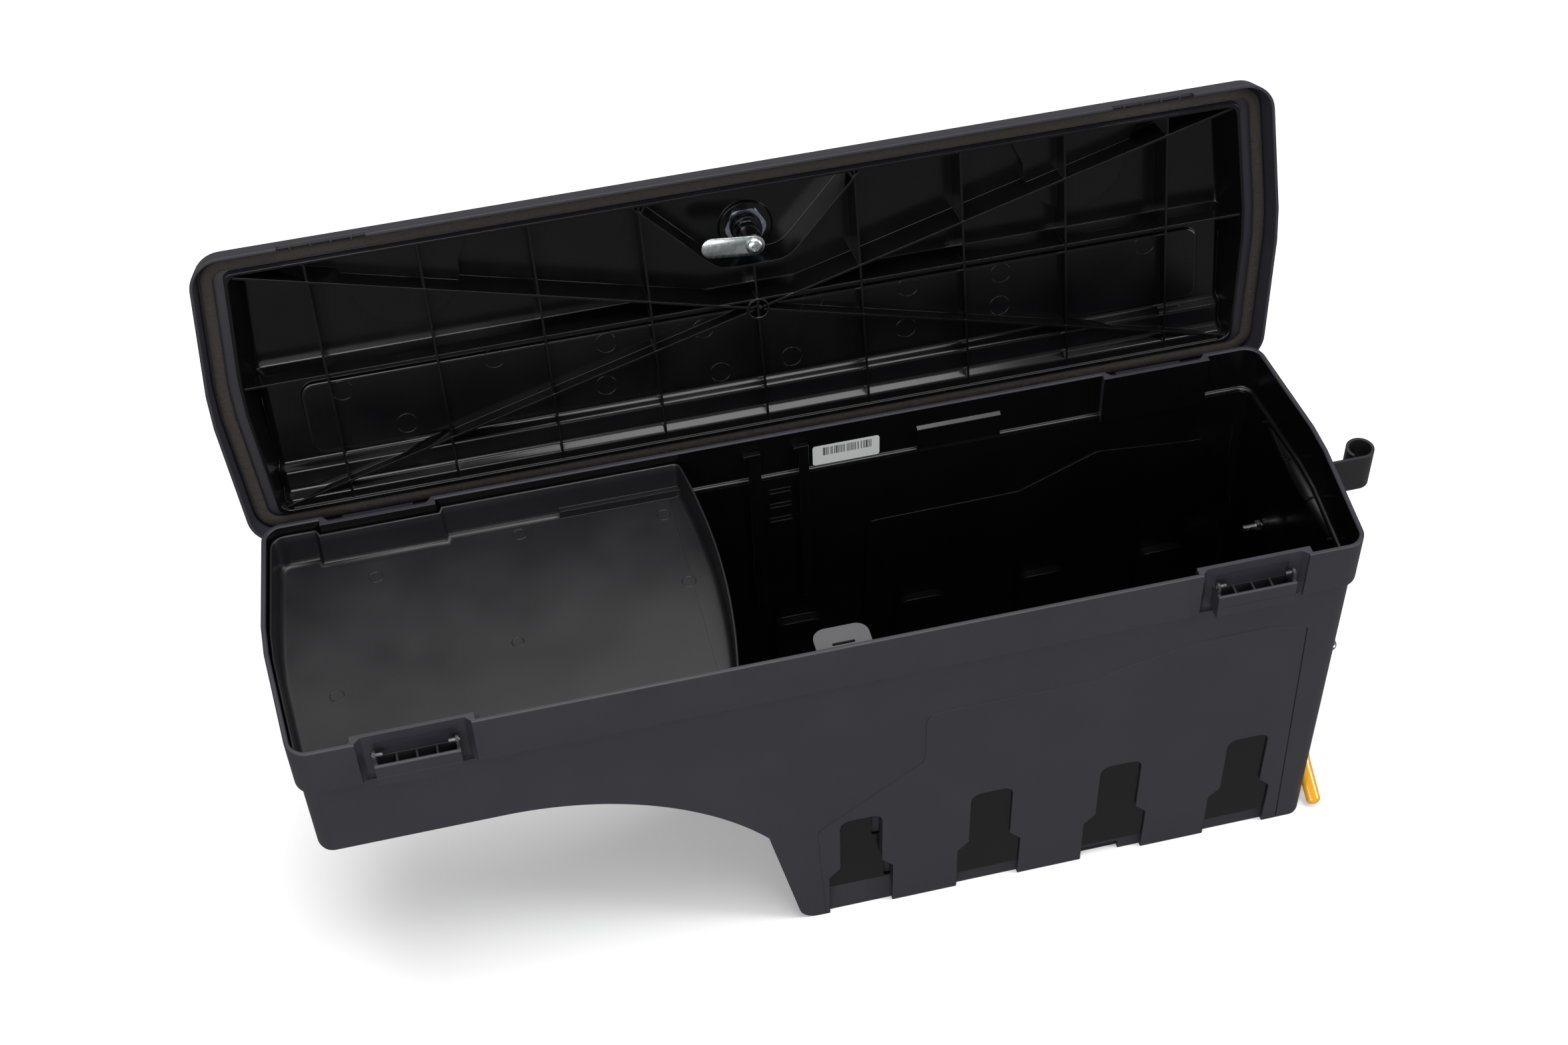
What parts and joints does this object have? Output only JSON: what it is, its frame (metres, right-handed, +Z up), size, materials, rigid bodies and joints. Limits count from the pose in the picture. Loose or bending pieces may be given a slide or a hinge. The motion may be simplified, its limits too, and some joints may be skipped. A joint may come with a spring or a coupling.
{
  "type": "swing-out truck bed storage box",
  "caption": "Swing-out wheel-well storage box with an arched deep tub, ribbed hinged lid, key cam lock, lift-out tray, rolled pivot eye and a spring latch with a grip lever.",
  "frame": {"origin": "on the underside of the foot, below the middle of the tub's rim", "axes": "+X towards the pivot end, -Y to the front (away from the lid's hinges), +Z up"},
  "size_m": [1.0867, 0.4, 0.6785],
  "materials": {
    "black_plastic": "moulded, semi-gloss",
    "textured_plastic": "moulded, fine texture",
    "foam_rubber": "closed-cell foam skin",
    "coated_steel": "dark coated sheet steel",
    "zinc_plated": "bright zinc plate",
    "cast_grey": "grey, fine texture",
    "yellow_vinyl": "dipped vinyl",
    "label_paper": "printed film"
  },
  "bodies": {
    "tub": {"tub": "black_plastic", "strike_tab": "cast_grey", "label": "label_paper", "stub_front_left_a": "zinc_plated", "stub_front_left_b": "zinc_plated", "stub_front_right_a": "zinc_plated", "stub_front_right_b": "zinc_plated", "stub_back_left_a": "zinc_plated", "stub_back_left_b": "zinc_plated", "stub_back_right_a": "zinc_plated", "stub_back_right_b": "zinc_plated", "upper_bracket": "coated_steel", "lower_bracket": "coated_steel", "bolt_upper_front": "zinc_plated", "bolt_upper_back": "zinc_plated", "bolt_lower_front": "zinc_plated", "bolt_lower_back": "zinc_plated", "nut_upper_front": "zinc_plated", "nut_upper_back": "zinc_plated", "nut_lower_front": "zinc_plated", "nut_lower_back": "zinc_plated", "latch_spring": "zinc_plated"},
    "lid": {"lid": "black_plastic", "gasket": "foam_rubber", "lock_barrel": "black_plastic", "lock_nut": "zinc_plated"},
    "lock": {"lock_plug": "zinc_plated", "cam": "zinc_plated", "cam_screw": "zinc_plated"},
    "tray": {"tray": "textured_plastic"},
    "lever": {"release_lever": "zinc_plated", "lever_grip": "yellow_vinyl"},
    "latch": {"latch_pin": "zinc_plated"}
  },
  "joints": [
    {"name": "lid_hinge", "type": "hinge", "parent": "tub", "child": "lid", "pos_m": [0, 0.1398, 0.3969], "axis": [1, 0, 0], "range_deg": [0, 102.75]},
    {"name": "lock_turn", "type": "hinge", "parent": "lid", "child": "lock", "pos_m": [0, 0.19649, 0.60123], "axis": [0, 0.9753, -0.2207], "range_deg": [0, 84.2]},
    {"name": "tray_lift", "type": "slide", "parent": "tub", "child": "tray", "axis": [0, 0, 1], "range_m": [0, 0.25]},
    {"name": "lever_turn", "type": "hinge", "parent": "tub", "child": "lever", "pos_m": [0.4988, -0.02, 0.1145], "axis": [-1, 0, 0], "range_deg": [0, 13]},
    {"name": "latch_slide", "type": "slide", "parent": "tub", "child": "latch", "axis": [0, 0, -1], "range_m": [0, 0.0135], "stiffness_N_per_m": 400, "springref_m": -0.012, "deforming": ["latch_spring"]}
  ],
  "couplings": [
    {"joint": "latch_slide", "follows": "lever_turn", "m_per_rad": 0.0585}
  ]
}
